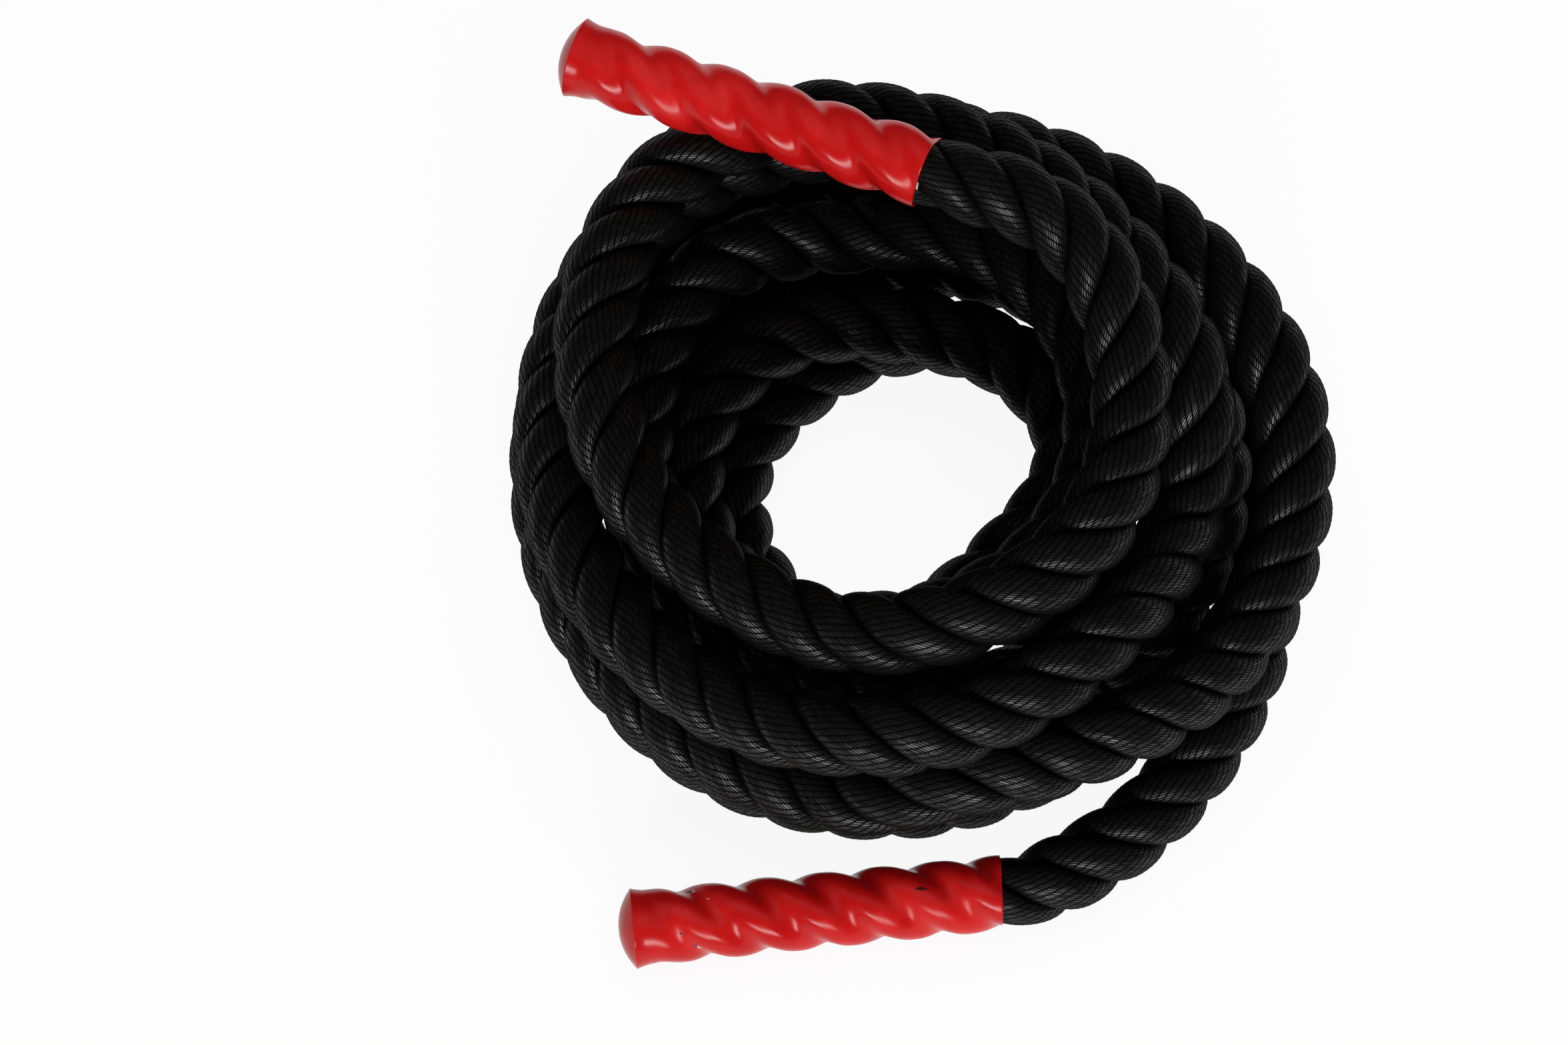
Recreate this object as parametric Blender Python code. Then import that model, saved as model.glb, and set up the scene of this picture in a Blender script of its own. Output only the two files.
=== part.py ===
"""Battle rope: three-strand laid rope in a loose round pile, with a shrunk sleeve on each end.

Metres, +Z up. The floor is z = 0 and the origin is below the middle of the whole part.
The lower end lies on the floor at the front (-Y), the upper end lies on top of the pile at the back.
"""

import bpy
import bmesh
import numpy as np
from math import pi, radians

# Rope
ROPE_DIAMETER = 0.038
FLAT_CUT_SHARE = 0.1
FACE_GAP = 0.0003
LAY_GAP = 0.0014

# Sleeve, shrunk over the last stretch of the rope so that it follows the three strands and squeezes
# them a little smaller than the free rope
SLEEVE_LENGTH = 0.178
SLEEVE_SQUEEZE = 0.0014
SLEEVE_RIM_SQUEEZE = 0.0003
SLEEVE_CREST_RADIUS = ROPE_DIAMETER / 2 - SLEEVE_SQUEEZE
SLEEVE_RIM_RADIUS = ROPE_DIAMETER / 2 - SLEEVE_RIM_SQUEEZE
SLEEVE_GROOVE_DEPTH = 0.0029
SLEEVE_WALL = 0.0012
SLEEVE_FLARE_LENGTH = 0.028
SLEEVE_DOME_HEIGHT = 0.007
SLEEVE_BODY = SLEEVE_LENGTH - SLEEVE_DOME_HEIGHT
SLEEVE_LAY = 0.084

# Inside the sleeve
LINING_THICKNESS = 0.0006
STRAND_GAP = 0.0011

# Pile: how far the rope's centre line lies from the pile's centre, in rope diameters, read from the
# photograph every eighth of a turn: front right, right, back right, back, back left, left, front
# left, front. The rope runs counter-clockwise seen from above, from its lower end to its upper end.
REACH_SHARES = (
    # on the floor, spiralling in
    (5.12, 4.46, 4.34, 4.20, 4.22, 4.37, 4.48, 4.22),
    (3.88, 3.40, 3.27, 3.10, 3.13, 3.32, 3.43, 3.16),
    (2.83, 2.35, 2.20, 2.03, 1.94, 2.26, 2.37, 2.10),
    # on top of those, spiralling out again
    (1.84, 2.00, 1.74, 1.70, 2.24, 2.82, 2.86, 2.60),
    (2.40, 2.30, 2.42, 2.82, 3.31, 3.46, 3.58, 3.58),
    (3.78, 3.72, 3.58, 3.90, 4.38, 4.53, 4.66, 4.64),
    (4.74, 4.68, 4.02, 3.84, 4.20, 4.42, 4.53, 4.42),
    # and in again, uppermost
    (3.68, 3.40, 3.12, 3.44, 4.06, 3.88, 3.46, 3.30),
    (2.90, 2.53, 2.38),
)
FIRST_DIRECTION = radians(-45)
DIRECTION_STEP = radians(45)
LOOP_POINTS = 24
COIL_START_DIRECTION = radians(-30)
COIL_END_DIRECTION = radians(0)
FULL_TURNS = 8

# Free stretches between the pile and the sleeves, as plan points in rope diameters, and how far the
# sleeves' lobes are turned at their mouths
LOWER_LEAD_SHARES = (
    (1.36, -5.42), (1.91, -5.17), (2.46, -4.83), (2.95, -4.41), (3.38, -3.92), (3.73, -3.40),
)
UPPER_LEAD_SHARES = ((1.36, 1.87), (1.04, 2.00), (0.73, 2.09), (0.42, 2.19))
LOWER_MOUTH_SHARES = (1.04, -5.47)
UPPER_MOUTH_SHARES = (0.11, 2.29)
LOWER_SLEEVE_HEADING = radians(185.8)
UPPER_SLEEVE_HEADING = radians(160.2)
LOWER_LOBE_TURN = radians(35)
UPPER_LOBE_TURN = radians(-38)

# How the rope settles: it starts to rise this far before what it lies on
STIFF_REACH = 1.1 * ROPE_DIAMETER
SETTLING_START = 1.1 * ROPE_DIAMETER
SAMPLE_STEP = ROPE_DIAMETER / 6
OWN_STRETCH = 3 * ROPE_DIAMETER
LEAD_STEP = 1.3 * ROPE_DIAMETER
UPPER_LEAD_SLOPE = 0.3
STRAIGHT_END = ROPE_DIAMETER

# Facets
SLEEVE_SIDES = 18
SLEEVE_RUN_POINTS = 6
RING_TURN = radians(30)
TAPE_RINGS = 4
DOME_RINGS = 3
STRANDS = 3
STRAND_SIDES = 8
LOOP_SIDES = 6
LEAD_SIDES = 8
SHARP_ANGLE = radians(40)


def heading_vector(angle):
    return np.array([np.cos(angle), np.sin(angle)])


def smooth_curve(points, spacing):
    """Evenly spaced samples of the natural cubic spline through the points."""
    points = np.asarray(points, float)
    steps = np.linalg.norm(np.diff(points, axis=0), axis=1)
    knots = np.concatenate([[0], np.cumsum(steps)])
    count = len(points)
    system = np.eye(count)
    bend = np.zeros_like(points)
    for k in range(1, count - 1):
        system[k, k - 1:k + 2] = steps[k - 1], 2 * (steps[k - 1] + steps[k]), steps[k]
        bend[k] = 6 * ((points[k + 1] - points[k]) / steps[k] - (points[k] - points[k - 1]) / steps[k - 1])
    bend = np.linalg.solve(system, bend)
    samples = np.linspace(0, knots[-1], int(knots[-1] / spacing) + 1)
    span = np.clip(np.searchsorted(knots, samples, side="right") - 1, 0, count - 2)
    width = steps[span][:, None]
    after = (samples - knots[span])[:, None] / width
    before = 1 - after
    curve = before * points[span] + after * points[span + 1]
    curve += ((before ** 3 - before) * bend[span] + (after ** 3 - after) * bend[span + 1]) * width ** 2 / 6
    return curve


def coil_points():
    """The pile's plan points, one for each reach in the table."""
    reaches = np.concatenate([np.array(row) for row in REACH_SHARES]) * ROPE_DIAMETER
    angles = FIRST_DIRECTION + DIRECTION_STEP * np.arange(len(reaches))
    return reaches[:, None] * np.stack([np.cos(angles), np.sin(angles)], axis=1)


def rope_plan():
    """The rope's centre line seen from above, and the length along it."""
    lower_mouth = np.array(LOWER_MOUTH_SHARES) * ROPE_DIAMETER
    upper_mouth = np.array(UPPER_MOUTH_SHARES) * ROPE_DIAMETER
    runs = np.linspace(1, 0, SLEEVE_RUN_POINTS)[:, None] * SLEEVE_LENGTH
    lower_run = lower_mouth + runs * heading_vector(LOWER_SLEEVE_HEADING)
    upper_run = upper_mouth + runs[::-1] * heading_vector(UPPER_SLEEVE_HEADING)
    lower_lead = np.array(LOWER_LEAD_SHARES) * ROPE_DIAMETER
    upper_lead = np.array(UPPER_LEAD_SHARES) * ROPE_DIAMETER
    chosen = np.concatenate([lower_run, lower_lead, coil_points()[1:], upper_lead, upper_run])
    plan = smooth_curve(chosen, SAMPLE_STEP)
    along = np.concatenate([[0], np.cumsum(np.linalg.norm(np.diff(plan, axis=0), axis=1))])
    return plan, along


def softened(heights):
    """The rope is stiff: it rises one stiff reach early and keeps above what it must clear."""
    half = int(round(STIFF_REACH / SAMPLE_STEP))
    window = 2 * half + 1
    padded = np.pad(heights, half, mode="edge")
    highest = np.lib.stride_tricks.sliding_window_view(padded, window).max(axis=1)
    weights = np.hanning(window + 2)[1:-1]
    padded = np.pad(highest, half, mode="edge")
    return np.convolve(padded, weights / weights.sum(), mode="valid")


def settled_heights(plan, along, coil_start):
    """Lay the rope down from its lower end: each point rests on the floor or on what lies below."""
    radii = np.full(len(plan), ROPE_DIAMETER / 2)
    in_lower_sleeve = along < SLEEVE_LENGTH
    in_upper_sleeve = along > along[-1] - SLEEVE_LENGTH
    radii[in_lower_sleeve | in_upper_sleeve] = SLEEVE_RIM_RADIUS
    floor = np.full(len(plan), ROPE_DIAMETER / 2 + FACE_GAP)
    floor[along > coil_start + SETTLING_START] = ROPE_DIAMETER * (0.5 - FLAT_CUT_SHARE)
    apart = np.linalg.norm(plan[:, None] - plan[None, :], axis=2)
    clear = radii[:, None] + radii[None, :] + LAY_GAP
    below = (along[None, :] < along[:, None] - OWN_STRETCH) & (apart < clear)
    lift = np.sqrt(np.maximum(clear ** 2 - apart ** 2, 0))
    before_sleeve = np.maximum(along[-1] - SLEEVE_LENGTH - along, 0)
    heights = floor
    for _ in range(2 * FULL_TURNS):
        resting = np.where(below, heights[None, :] + lift, 0).max(axis=1)
        needed = np.maximum(resting, floor)
        needed = np.maximum(needed, needed[in_upper_sleeve].max() - UPPER_LEAD_SLOPE * before_sleeve)
        heights = softened(needed)
    return heights


def least_gap(points, diameter):
    """The least clear distance between a tube's own loops, measured along its straight facets."""
    steps = np.linspace(0, 1, 7)[:-1, None, None]
    dense = (points[:-1] + steps * (points[1:] - points[:-1])).transpose(1, 0, 2).reshape(-1, 3)
    along = np.concatenate([[0], np.cumsum(np.linalg.norm(np.diff(dense, axis=0), axis=1))])
    apart = np.linalg.norm(dense[:, None] - dense[None, :], axis=2)
    apart[np.abs(along[:, None] - along[None, :]) < OWN_STRETCH] = np.inf
    return apart.min() - diameter


def material(name, color, roughness, metallic=0.0):
    made = bpy.data.materials.new(name)
    made.use_nodes = True
    shader = made.node_tree.nodes["Principled BSDF"]
    shader.inputs["Base Color"].default_value = (*color, 1)
    shader.inputs["Roughness"].default_value = roughness
    shader.inputs["Metallic"].default_value = metallic
    return made


def placed(name, data, finish):
    made = bpy.data.objects.new(name, data)
    made.data.materials.append(finish)
    bpy.context.collection.objects.link(made)
    return made


def tube(name, points, sides, finish):
    """A curve object: a round tube with filled caps along straight facets."""
    curve = bpy.data.curves.new(name, "CURVE")
    curve.dimensions = "3D"
    curve.twist_mode = "Z_UP"
    curve.bevel_depth = ROPE_DIAMETER / 2
    curve.bevel_resolution = sides // 2 - 2
    curve.use_fill_caps = True
    spline = curve.splines.new("POLY")
    spline.points.add(len(points) - 1)
    for target, point in zip(spline.points, points):
        target.co = (*point, 1)
    return placed(name, curve, finish)


def cut_flat(tube_object, reach):
    """Cut the tube flat on the floor, where the pile stands on it."""
    name = tube_object.name
    solid = bpy.data.meshes.new_from_object(tube_object)
    finish = tube_object.data.materials[0]
    bpy.data.objects.remove(tube_object)
    made = bpy.data.objects.new(name, solid)
    if not solid.materials:
        solid.materials.append(finish)
    bpy.context.collection.objects.link(made)
    depth = ROPE_DIAMETER
    bpy.ops.mesh.primitive_cube_add(size=1, location=(0, 0, -depth / 2))
    cutter = bpy.context.active_object
    cutter.name = "floor_cutter"
    cutter.scale = (reach, reach, depth)
    cutter.hide_render = True
    cutter.display_type = "WIRE"
    cut = made.modifiers.new("flat on the floor", "BOOLEAN")
    cut.operation = "DIFFERENCE"
    cut.object = cutter
    return made


def lobed(crest_radius, rim_radius, along):
    """One section of the sleeve or of what lies in it, square to the axis: three lobes that turn with
    the strands and fade to a circle of the rim radius where the sleeve flares."""
    around = 2 * pi * np.arange(SLEEVE_SIDES) / SLEEVE_SIDES
    radii = crest_radius - SLEEVE_GROOVE_DEPTH / 2 * (1 - np.cos(STRANDS * around))
    flare = np.clip((along - SLEEVE_BODY + SLEEVE_FLARE_LENGTH) / SLEEVE_FLARE_LENGTH, 0, 1)
    flare = flare * flare * (3 - 2 * flare)
    radii += flare * np.maximum(rim_radius - radii, 0)
    return radii * heading_vector(around + 2 * pi * along / SLEEVE_LAY)


def placed_section(axis, along, across):
    """A section's points in space; the axis runs from the sleeve's mouth to its tip."""
    mouth, tangent, first, second = axis
    return mouth + along * tangent + across.T @ [first, second]


def skinned(name, rings, apexes, finish):
    """Triangles between rings of equal count, over the shorter diagonal where the rings turn. The
    two ends run up to their apexes, or the last ring joins the first when there are none."""
    build = bmesh.new()
    rows = [[build.verts.new(point) for point in points] for points in rings]
    pairs = list(zip(rows[:-1], rows[1:]))
    if not apexes:
        pairs.append((rows[-1], rows[0]))
    for low, high in pairs:
        for k in range(len(low)):
            m = (k + 1) % len(low)
            if (low[m].co - high[k].co).length < (low[k].co - high[m].co).length:
                build.faces.new((low[k], low[m], high[k]))
                build.faces.new((low[m], high[m], high[k]))
            else:
                build.faces.new((low[k], low[m], high[m]))
                build.faces.new((low[k], high[m], high[k]))
    for row, apex in zip((rows[0], rows[-1]), apexes):
        middle = build.verts.new(apex)
        for k in range(len(row)):
            build.faces.new((row[k], row[(k + 1) % len(row)], middle))
    bmesh.ops.recalc_face_normals(build, faces=build.faces)
    data = bpy.data.meshes.new(name)
    build.to_mesh(data)
    build.free()
    data.shade_smooth()
    data.set_sharp_from_angle(angle=SHARP_ANGLE)
    return placed(name, data, finish)


def add_sleeve(name, axis, stations, finish):
    """A tube with a domed end: in along its inner face from the dome, and out along its outer face."""
    inner, outer, apexes = [], [], []
    for rows, wall in ((inner, SLEEVE_WALL), (outer, 0)):
        sections = [lobed(SLEEVE_CREST_RADIUS - wall, SLEEVE_RIM_RADIUS - wall, along) for along in stations]
        rows += [placed_section(axis, along, across) for along, across in zip(stations, sections)]
        rise = SLEEVE_DOME_HEIGHT - wall
        for share in np.linspace(1, 0, DOME_RINGS + 1)[1:-1]:
            along = SLEEVE_BODY + rise * (1 - share ** 2)
            rows.append(placed_section(axis, along, sections[-1] * share))
        apexes.append(axis[0] + (SLEEVE_BODY + rise) * axis[1])
    skinned(name, inner[::-1] + outer, apexes, finish)


def add_lining(name, axis, stations, finish):
    """A thin tube between the sleeve and the strands: the adhesive, or the tape round the rope's end."""
    outer_radius = SLEEVE_CREST_RADIUS - SLEEVE_WALL - FACE_GAP
    outer, inner = [
        [placed_section(axis, along, lobed(radius, 0, along)) for along in stations]
        for radius in (outer_radius, outer_radius - LINING_THICKNESS)
    ]
    skinned(name, outer + inner[::-1], (), finish)


def add_strand_end(name, axis, stations, first_angle, finish):
    """One of the three strands inside the sleeve, which squeezes them a little smaller."""
    reach = SLEEVE_CREST_RADIUS - SLEEVE_WALL - LINING_THICKNESS - 2 * FACE_GAP
    from_axis = (reach + STRAND_GAP / 2) / (1 + np.cos(pi / 6))
    around = 2 * pi * np.arange(STRAND_SIDES) / STRAND_SIDES
    rings = []
    for along in stations:
        angle = first_angle + 2 * pi * along / SLEEVE_LAY
        middle = from_axis * heading_vector(angle)[:, None]
        outline = middle + (reach - from_axis) * heading_vector(around + angle)
        rings.append(placed_section(axis, along, outline))
    skinned(name, rings, [rings[0].mean(axis=0), rings[-1].mean(axis=0)], finish)


def add_end(side_name, axis, finishes):
    """A sleeve and all that lies in it."""
    stations = np.linspace(0, SLEEVE_BODY, 1 + round(SLEEVE_BODY / SLEEVE_LAY * 2 * pi / RING_TURN))
    inside = np.concatenate([[FACE_GAP], stations[1:-1], [SLEEVE_BODY - FACE_GAP]])
    tape_stations = inside[-1 - TAPE_RINGS:].copy()
    tape_stations[0] += FACE_GAP
    add_sleeve(side_name + "_sleeve", axis, stations, finishes["sleeve"])
    add_lining(side_name + "_adhesive", axis, inside[:-TAPE_RINGS], finishes["adhesive"])
    add_lining(side_name + "_end_tape", axis, tape_stations, finishes["tape"])
    for k in range(STRANDS):
        strand_name = f"{side_name}_strand_end_{k + 1}"
        add_strand_end(strand_name, axis, inside, 2 * pi * k / STRANDS, finishes["rope"])


def sleeve_axis(mouth_shares, heading, height, lobe_turn):
    """Mouth, direction to the tip, and the two directions that the lobes are measured from."""
    mouth = np.append(np.array(mouth_shares) * ROPE_DIAMETER, height)
    tangent = np.append(heading_vector(heading), 0)
    up = np.array([0, 0, 1])
    level = np.cross(up, tangent)
    turned_level = np.cos(lobe_turn) * level + np.sin(lobe_turn) * up
    return mouth, tangent, turned_level, np.cross(tangent, turned_level)


def split_points(line_at, position):
    """Two ends that meet face to face, each straight for one diameter up to its outer point."""
    before, after = line_at(position - STRAIGHT_END), line_at(position + STRAIGHT_END)
    middle = (before + after) / 2
    half_gap = (after - before) / np.linalg.norm(after - before) * FACE_GAP / 2
    return before, middle - half_gap, middle + half_gap, after


def free_stretch(line_at, first, start, end, last):
    """From one straight end to the other, with a point every lead step between."""
    count = max(1, round((last - first) / LEAD_STEP))
    return np.array([*start, *map(line_at, np.linspace(first, last, count + 1)[1:-1]), *end])


def clear_scene():
    for leftover in list(bpy.data.objects):
        bpy.data.objects.remove(leftover)


def centre_on_origin():
    """Move every piece so that the origin lies below the middle of the whole part."""
    bpy.context.view_layer.update()
    graph = bpy.context.evaluated_depsgraph_get()
    solids = [made for made in bpy.data.objects if not made.hide_render]
    corners = []
    for made in solids:
        solid = bpy.data.meshes.new_from_object(made.evaluated_get(graph))
        points = np.array([made.matrix_world @ vertex.co for vertex in solid.vertices])
        corners += [points.min(axis=0), points.max(axis=0)]
        bpy.data.meshes.remove(solid)
    low, high = np.min(corners, axis=0), np.max(corners, axis=0)
    for made in bpy.data.objects:
        made.location.x -= (low[0] + high[0]) / 2
        made.location.y -= (low[1] + high[1]) / 2
    print("middle of the part in the pile's own frame:", (low + high)[:2] / 2, "size:", high - low)


clear_scene()
finishes = {
    "rope": material("black_polyester_rope", (0.012, 0.012, 0.013), 0.85),
    "sleeve": material("red_heat_shrink", (0.45, 0.012, 0.012), 0.28),
    "adhesive": material("hot_melt_adhesive", (0.7, 0.66, 0.55), 0.35),
    "tape": material("black_tape", (0.02, 0.02, 0.022), 0.5),
}

plan, along = rope_plan()
turned = np.unwrap(np.arctan2(plan[:, 1], plan[:, 0]))
point_step = 2 * pi / LOOP_POINTS
last_point = LOOP_POINTS * FULL_TURNS + round((COIL_END_DIRECTION - COIL_START_DIRECTION) / point_step)
positions = np.interp(COIL_START_DIRECTION + point_step * np.arange(last_point + 1), turned, along)
heights = settled_heights(plan, along, positions[0])


def line_at(position):
    return np.array([np.interp(position, along, values) for values in (*plan.T, heights)])


lower_axis = sleeve_axis(LOWER_MOUTH_SHARES, LOWER_SLEEVE_HEADING, heights[0], LOWER_LOBE_TURN)
upper_axis = sleeve_axis(UPPER_MOUTH_SHARES, UPPER_SLEEVE_HEADING, heights[-1], UPPER_LOBE_TURN)
straight = np.array([FACE_GAP, STRAIGHT_END])[:, None]
lower_end = lower_axis[0] - straight * lower_axis[1]
upper_end = upper_axis[0] - straight * upper_axis[1]
lead_out, lead_face, coil_face, coil_in = split_points(line_at, positions[0])
coil_out, coil_last_face, upper_face, upper_in = split_points(line_at, positions[-1])

within = positions[
    (positions > positions[0] + STRAIGHT_END + SAMPLE_STEP)
    & (positions < positions[-1] - STRAIGHT_END - SAMPLE_STEP)
]
coil_line = np.array([coil_face, coil_in, *map(line_at, within), coil_out, coil_last_face])
print("least gap of the coil to itself in mm:", 1000 * least_gap(coil_line, ROPE_DIAMETER))
print("rope length in m:", along[-1])

cut_flat(tube("rope_coil", coil_line, LOOP_SIDES, finishes["rope"]), np.ptp(plan) * 2)
lower_lead = free_stretch(
    line_at, SLEEVE_LENGTH + STRAIGHT_END, lower_end, (lead_out, lead_face), positions[0] - STRAIGHT_END
)
upper_lead = free_stretch(
    line_at, positions[-1] + STRAIGHT_END, (upper_face, upper_in), upper_end[::-1],
    along[-1] - SLEEVE_LENGTH - STRAIGHT_END,
)
tube("rope_lead_lower", lower_lead, LEAD_SIDES, finishes["rope"])
tube("rope_lead_upper", upper_lead, LEAD_SIDES, finishes["rope"])
add_end("lower", lower_axis, finishes)
add_end("upper", upper_axis, finishes)
centre_on_origin()
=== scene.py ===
# %% [markdown]
# # A battle rope in a loose pile
#
# A battle rope is a thick, heavy rope for training: an athlete holds one end in each hand and
# makes waves. This one is black, laid from three strands, and lies in a loose round pile. A
# red plastic sleeve is shrunk over each end as a handle. The script makes it in the order in
# which a maker would think of it: where the rope lies, how it is laid, then its two handles, its
# finishes, and the light.

import bpy
import numpy as np
from math import cos, pi, radians, sin
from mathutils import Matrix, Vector


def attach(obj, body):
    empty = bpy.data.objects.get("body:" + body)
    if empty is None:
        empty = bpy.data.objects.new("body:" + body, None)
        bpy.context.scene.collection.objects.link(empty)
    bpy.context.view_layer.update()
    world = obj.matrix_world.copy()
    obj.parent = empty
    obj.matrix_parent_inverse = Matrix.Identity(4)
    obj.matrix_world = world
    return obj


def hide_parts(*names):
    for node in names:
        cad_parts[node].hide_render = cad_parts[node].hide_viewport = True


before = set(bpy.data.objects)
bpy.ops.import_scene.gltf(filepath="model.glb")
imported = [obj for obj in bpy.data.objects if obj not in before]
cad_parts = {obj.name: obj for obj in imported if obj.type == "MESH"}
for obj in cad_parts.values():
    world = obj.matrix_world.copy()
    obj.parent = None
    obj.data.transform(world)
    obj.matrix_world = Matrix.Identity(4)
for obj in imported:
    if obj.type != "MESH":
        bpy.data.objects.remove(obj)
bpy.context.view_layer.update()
print("nodes:", sorted(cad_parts))

# %% [markdown]
# ## The camera
#
# The picture was taken with a long lens from high in front of the rope, looking down steeply. A
# long lens from far away keeps the round pile round. The camera is made first, because it tells
# how large each detail is going to be in the picture.

# %% The camera
PICTURE_WIDTH = 2352
SENSOR_WIDTH = 36.0
ROPE_DIAMETER = 0.038
DIAMETER_IN_PIXELS = 118
CAMERA_DISTANCE = 2.3
CAMERA_ELEVATION = radians(68)
CAMERA_TARGET = Vector((-0.0638, 0.0179, 0.0))


def add_camera():
    """A lens that shows one rope diameter, at the camera's distance, as so many pixels."""
    data = bpy.data.cameras.new("camera")
    data.sensor_width = SENSOR_WIDTH
    pixels_per_metre = DIAMETER_IN_PIXELS / ROPE_DIAMETER
    data.lens = SENSOR_WIDTH * pixels_per_metre * CAMERA_DISTANCE / PICTURE_WIDTH
    camera = bpy.data.objects.new("camera", data)
    bpy.context.scene.collection.objects.link(camera)
    backwards = Vector((0, -cos(CAMERA_ELEVATION), sin(CAMERA_ELEVATION)))
    camera.location = CAMERA_TARGET + CAMERA_DISTANCE * backwards
    camera.rotation_euler = backwards.to_track_quat("Z", "Y").to_euler()
    bpy.context.scene.camera = camera
    return camera


print("focal length in mm:", round(add_camera().data.lens, 1))

# %% [markdown]
# ## Where the rope lies
#
# A pile like this is thrown down in rounds, so its route is easiest to write as a distance from
# the middle of the pile at every eighth of a turn. The distances are counted in rope diameters,
# as read from the picture: first a spiral inwards on the floor, then outwards on top of it, and
# inwards again on top of that. A smooth curve through those points is the rope seen from above.

# %% The route's table
# Every eighth of a turn: front right, right, back right, back, back left, left, front left, front
REACH_SHARES = (
    # on the floor, spiralling in
    (5.12, 4.46, 4.34, 4.20, 4.22, 4.37, 4.48, 4.22),
    (3.88, 3.40, 3.27, 3.10, 3.13, 3.32, 3.43, 3.16),
    (2.83, 2.35, 2.20, 2.03, 1.94, 2.26, 2.37, 2.10),
    # on top of those, spiralling out again
    (1.84, 2.00, 1.74, 1.70, 2.24, 2.82, 2.86, 2.60),
    (2.40, 2.30, 2.42, 2.82, 3.31, 3.46, 3.58, 3.58),
    (3.78, 3.72, 3.58, 3.90, 4.38, 4.53, 4.66, 4.64),
    (4.74, 4.68, 4.02, 3.84, 4.20, 4.42, 4.53, 4.42),
    # and in again, uppermost
    (3.68, 3.40, 3.12, 3.44, 4.06, 3.88, 3.46, 3.30),
    (2.90, 2.53, 2.38),
)
FIRST_DIRECTION = radians(-45)
DIRECTION_STEP = radians(45)
COIL_START_DIRECTION = radians(-30)
LOWER_LEAD_SHARES = (
    (1.36, -5.42), (1.91, -5.17), (2.46, -4.83), (2.95, -4.41), (3.38, -3.92), (3.73, -3.40),
)
UPPER_LEAD_SHARES = ((1.36, 1.87), (1.04, 2.00), (0.73, 2.09), (0.42, 2.19))
LOWER_MOUTH_SHARES = (1.04, -5.47)
UPPER_MOUTH_SHARES = (0.11, 2.29)
LOWER_SLEEVE_HEADING = radians(185.8)
UPPER_SLEEVE_HEADING = radians(160.2)
SLEEVE_LENGTH = 0.178
SLEEVE_RUN_POINTS = 6
PILE_CENTRE = np.array([-0.00278, 0.0325])


def heading_vector(angle):
    """The unit vector of a direction seen from above."""
    return np.array([np.cos(angle), np.sin(angle)])


def smooth_curve(points, spacing):
    """Evenly spaced samples of the natural cubic spline through the points: between two points
    the curve is a cubic, and its direction and bend run on smoothly into the next."""
    steps = np.linalg.norm(np.diff(points, axis=0), axis=1)
    knots = np.concatenate([[0], np.cumsum(steps)])
    count = len(points)
    system = np.eye(count)
    inner = np.arange(1, count - 1)
    system[inner, inner - 1] = steps[:-1]
    system[inner, inner] = 2 * (steps[:-1] + steps[1:])
    system[inner, inner + 1] = steps[1:]
    slopes = np.diff(points, axis=0) / steps[:, None]
    bend = np.zeros_like(points)
    bend[1:-1] = 6 * np.diff(slopes, axis=0)
    bend = np.linalg.solve(system, bend)
    samples = np.linspace(0, knots[-1], int(knots[-1] / spacing) + 1)
    span = np.clip(np.searchsorted(knots, samples, side="right") - 1, 0, count - 2)
    width = steps[span][:, None]
    after = (samples - knots[span])[:, None] / width
    before = 1 - after
    curve = before * points[span] + after * points[span + 1]
    bending = (before**3 - before) * bend[span] + (after**3 - after) * bend[span + 1]
    return curve + bending * width**2 / 6


def length_along(points):
    """The distance run up to each point."""
    return np.concatenate([[0], np.cumsum(np.linalg.norm(np.diff(points, axis=0), axis=1))])


def rope_plan(spacing):
    """The rope seen from above, from the lower sleeve's tip to the upper sleeve's tip."""
    lower_mouth = np.array(LOWER_MOUTH_SHARES) * ROPE_DIAMETER
    upper_mouth = np.array(UPPER_MOUTH_SHARES) * ROPE_DIAMETER
    runs = np.linspace(1, 0, SLEEVE_RUN_POINTS)[:, None] * SLEEVE_LENGTH
    reaches = np.concatenate([np.array(row) for row in REACH_SHARES]) * ROPE_DIAMETER
    angles = FIRST_DIRECTION + DIRECTION_STEP * np.arange(len(reaches))
    pile = (reaches * heading_vector(angles)).T
    chosen = np.concatenate([
        lower_mouth + runs * heading_vector(LOWER_SLEEVE_HEADING),
        np.array(LOWER_LEAD_SHARES) * ROPE_DIAMETER,
        pile[1:],
        np.array(UPPER_LEAD_SHARES) * ROPE_DIAMETER,
        upper_mouth + runs[::-1] * heading_vector(UPPER_SLEEVE_HEADING),
    ])
    return smooth_curve(chosen, spacing)


SAMPLE_STEP = ROPE_DIAMETER / 6
plan = rope_plan(SAMPLE_STEP)
along = length_along(plan)
print("rope length with both ends in their sleeves:", round(along[-1], 3))

# %% [markdown]
# ## How high the rope lies
#
# Rope that is laid down rests on the floor or on the rounds below it. Where two rounds cross, the
# distance of their centre lines is one diameter, so Pythagoras gives the height from the
# distance seen from above. A thick rope is stiff: it starts to rise well before the round that it
# climbs, which is a running maximum along the rope, smoothed afterwards.

# %% The heights
FLAT_CUT_SHARE = 0.1
FACE_GAP = 0.0003
LAY_GAP = 0.0014
SLEEVE_RIM_RADIUS = 0.0187
STIFF_REACH = 1.1 * ROPE_DIAMETER
SETTLING_START = 1.1 * ROPE_DIAMETER
OWN_STRETCH = 3 * ROPE_DIAMETER
UPPER_LEAD_SLOPE = 0.3
SETTLING_ROUNDS = 16


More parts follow.
